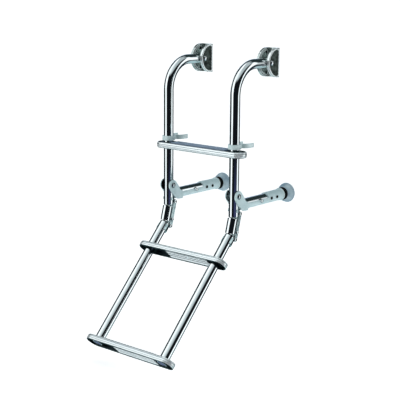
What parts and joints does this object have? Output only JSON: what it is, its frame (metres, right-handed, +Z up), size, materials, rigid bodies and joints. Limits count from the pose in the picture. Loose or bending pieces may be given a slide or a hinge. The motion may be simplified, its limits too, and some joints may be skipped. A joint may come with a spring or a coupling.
{
  "type": "folding boat boarding ladder",
  "caption": "Folding stainless boat ladder with bent side tubes, pivoting hull mounts, double hinges, treaded steps and swing-up standoff arms with swivel feet.",
  "frame": {"origin": "on the hull plane, midway between the two mounts and level with their pivot bolts", "axes": "+X along the rungs, +Y towards the hull, +Z up"},
  "size_m": [0.25, 0.4494, 0.6533],
  "materials": {
    "polished_steel": "mirror-polished stainless steel",
    "grey_plastic": "fine moulded texture",
    "pale_plastic": "fine moulded texture",
    "blue_grey_rubber": "soft matte",
    "dark_plug": "smooth"
  },
  "bodies": {
    "mounts": {"mount_bracket_left": "polished_steel", "mount_bracket_right": "polished_steel", "pivot_bolt_left": "polished_steel", "pivot_bolt_right": "polished_steel", "pivot_nut_left": "polished_steel", "pivot_nut_right": "polished_steel"},
    "upper_frame": {"upright_left": "polished_steel", "upright_right": "polished_steel", "upright_cap_left": "polished_steel", "upright_cap_right": "polished_steel", "upright_end_left": "polished_steel", "upright_end_right": "polished_steel", "upper_saddle_left": "polished_steel", "upper_saddle_right": "polished_steel", "arm_clip_left": "pale_plastic", "arm_clip_right": "pale_plastic", "arm_bolt_left": "polished_steel", "arm_bolt_right": "polished_steel", "arm_nut_left": "polished_steel", "arm_nut_right": "polished_steel", "step_pan_top": "polished_steel", "step_tread_top": "pale_plastic", "tread_screw_top": "polished_steel"},
    "hinge_links": {"link_tube_left": "polished_steel", "link_tube_right": "polished_steel", "link_bracket_left": "polished_steel", "link_bracket_right": "polished_steel", "link_rivet_left": "polished_steel", "link_rivet_right": "polished_steel", "upper_hinge_pin_left": "polished_steel", "upper_hinge_pin_right": "polished_steel", "lower_hinge_pin_left": "polished_steel", "lower_hinge_pin_right": "polished_steel"},
    "lower_ladder": {"lower_tube_left": "polished_steel", "lower_tube_right": "polished_steel", "lower_end_left": "polished_steel", "lower_end_right": "polished_steel", "lower_saddle_left": "polished_steel", "lower_saddle_right": "polished_steel", "tube_plug_left": "dark_plug", "tube_plug_right": "dark_plug", "step_pan_middle": "polished_steel", "step_tread_middle": "pale_plastic", "tread_screw_middle": "polished_steel", "step_pan_bottom": "polished_steel", "step_tread_bottom": "pale_plastic", "tread_screw_bottom": "polished_steel"},
    "arm_left": {"arm_body_left": "grey_plastic"},
    "extension_left": {"extension_tube_left": "polished_steel", "foot_stud_left": "dark_plug"},
    "swivel_foot_left": {"foot_left": "blue_grey_rubber"},
    "length_pin_left": {"adjust_pin_left": "polished_steel"},
    "arm_right": {"arm_body_right": "grey_plastic"},
    "extension_right": {"extension_tube_right": "polished_steel", "foot_stud_right": "dark_plug"},
    "swivel_foot_right": {"foot_right": "blue_grey_rubber"},
    "length_pin_right": {"adjust_pin_right": "polished_steel"}
  },
  "joints": [
    {"name": "mount_pivot", "type": "hinge", "parent": "mounts", "child": "upper_frame", "pos_m": [0, -0.024, 0], "axis": [-1, 0, 0], "range_deg": [0, 100]},
    {"name": "upper_hinge", "type": "hinge", "parent": "upper_frame", "child": "hinge_links", "pos_m": [0, -0.117, -0.326], "axis": [1, 0, 0], "range_deg": [0, 78.5]},
    {"name": "lower_hinge", "type": "hinge", "parent": "hinge_links", "child": "lower_ladder", "pos_m": [0, -0.1325, -0.38189], "axis": [1, 0, 0], "range_deg": [0, 145]},
    {"name": "arm_swing_left", "type": "hinge", "parent": "upper_frame", "child": "arm_left", "pos_m": [-0.096, -0.134, -0.284], "axis": [1, 0, 0], "range_deg": [0, 82.5]},
    {"name": "extension_slide_left", "type": "slide", "parent": "arm_left", "child": "extension_left", "axis": [0, -1, 0], "range_m": [-0.06, 0]},
    {"name": "foot_tilt_left", "type": "hinge", "parent": "extension_left", "child": "swivel_foot_left", "pos_m": [-0.096, 0.053, -0.306], "axis": [1, 0, 0], "range_deg": [-10, 10]},
    {"name": "pin_travel_left", "type": "slide", "parent": "arm_left", "child": "length_pin_left", "axis": [1, 0, 0], "range_m": [0, 0.004], "stiffness_N_per_m": 300, "springref_m": -0.004},
    {"name": "arm_swing_right", "type": "hinge", "parent": "upper_frame", "child": "arm_right", "pos_m": [0.096, -0.134, -0.284], "axis": [1, 0, 0], "range_deg": [0, 82.5]},
    {"name": "extension_slide_right", "type": "slide", "parent": "arm_right", "child": "extension_right", "axis": [0, -1, 0], "range_m": [-0.06, 0]},
    {"name": "foot_tilt_right", "type": "hinge", "parent": "extension_right", "child": "swivel_foot_right", "pos_m": [0.096, 0.053, -0.306], "axis": [1, 0, 0], "range_deg": [-10, 10]},
    {"name": "pin_travel_right", "type": "slide", "parent": "arm_right", "child": "length_pin_right", "axis": [1, 0, 0], "range_m": [0, 0.004], "stiffness_N_per_m": 300, "springref_m": -0.004}
  ]
}
